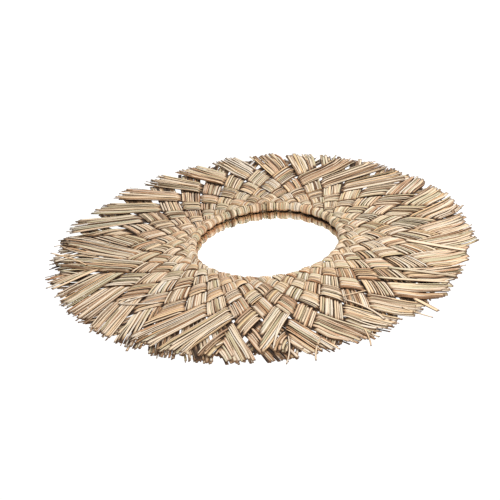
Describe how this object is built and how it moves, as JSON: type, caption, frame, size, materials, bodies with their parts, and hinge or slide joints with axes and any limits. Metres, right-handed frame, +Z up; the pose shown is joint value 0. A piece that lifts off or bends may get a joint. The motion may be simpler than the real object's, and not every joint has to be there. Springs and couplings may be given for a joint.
{
  "type": "straw framed mirror",
  "caption": "Round wall mirror in a wide ring of folded and plaited straw bunches that end in a ragged cut fringe; hangs flat on a wall.",
  "frame": {"origin": "middle of the backing board's flat back, where the mirror meets the wall", "axes": "+Y is the back's outward normal, into the wall, so the mirror faces -Y; +Z is up as it hangs; +X is to the right for someone who looks into it"},
  "size_m": [0.6178, 0.0214, 0.6206],
  "materials": {
    "dry_straw": "natural dried straw, matt, beige with olive and reddish-brown streaks",
    "silvered_glass": "plain silvered mirror glass, polished",
    "fibreboard": "raw brown hardboard, matt"
  },
  "bodies": {
    "root": {"backing_board": "fibreboard", "mirror_glass": "silvered_glass", "straw_bunch_01": "dry_straw", "straw_bunch_02": "dry_straw", "straw_bunch_03": "dry_straw", "straw_bunch_04": "dry_straw", "straw_bunch_05": "dry_straw", "straw_bunch_06": "dry_straw", "straw_bunch_07": "dry_straw", "straw_bunch_08": "dry_straw", "straw_bunch_09": "dry_straw", "straw_bunch_10": "dry_straw", "straw_bunch_11": "dry_straw", "straw_bunch_12": "dry_straw", "straw_bunch_13": "dry_straw", "straw_bunch_14": "dry_straw", "straw_bunch_15": "dry_straw", "straw_bunch_16": "dry_straw", "straw_bunch_17": "dry_straw", "straw_bunch_18": "dry_straw", "straw_bunch_19": "dry_straw", "straw_bunch_20": "dry_straw", "straw_bunch_21": "dry_straw", "straw_bunch_22": "dry_straw", "straw_bunch_23": "dry_straw", "straw_bunch_24": "dry_straw", "straw_bunch_25": "dry_straw", "straw_bunch_26": "dry_straw", "straw_bunch_27": "dry_straw", "straw_bunch_28": "dry_straw", "straw_bunch_29": "dry_straw", "straw_bunch_30": "dry_straw", "straw_bunch_31": "dry_straw", "straw_bunch_32": "dry_straw", "straw_bunch_33": "dry_straw", "straw_bunch_34": "dry_straw"}
  },
  "joints": []
}
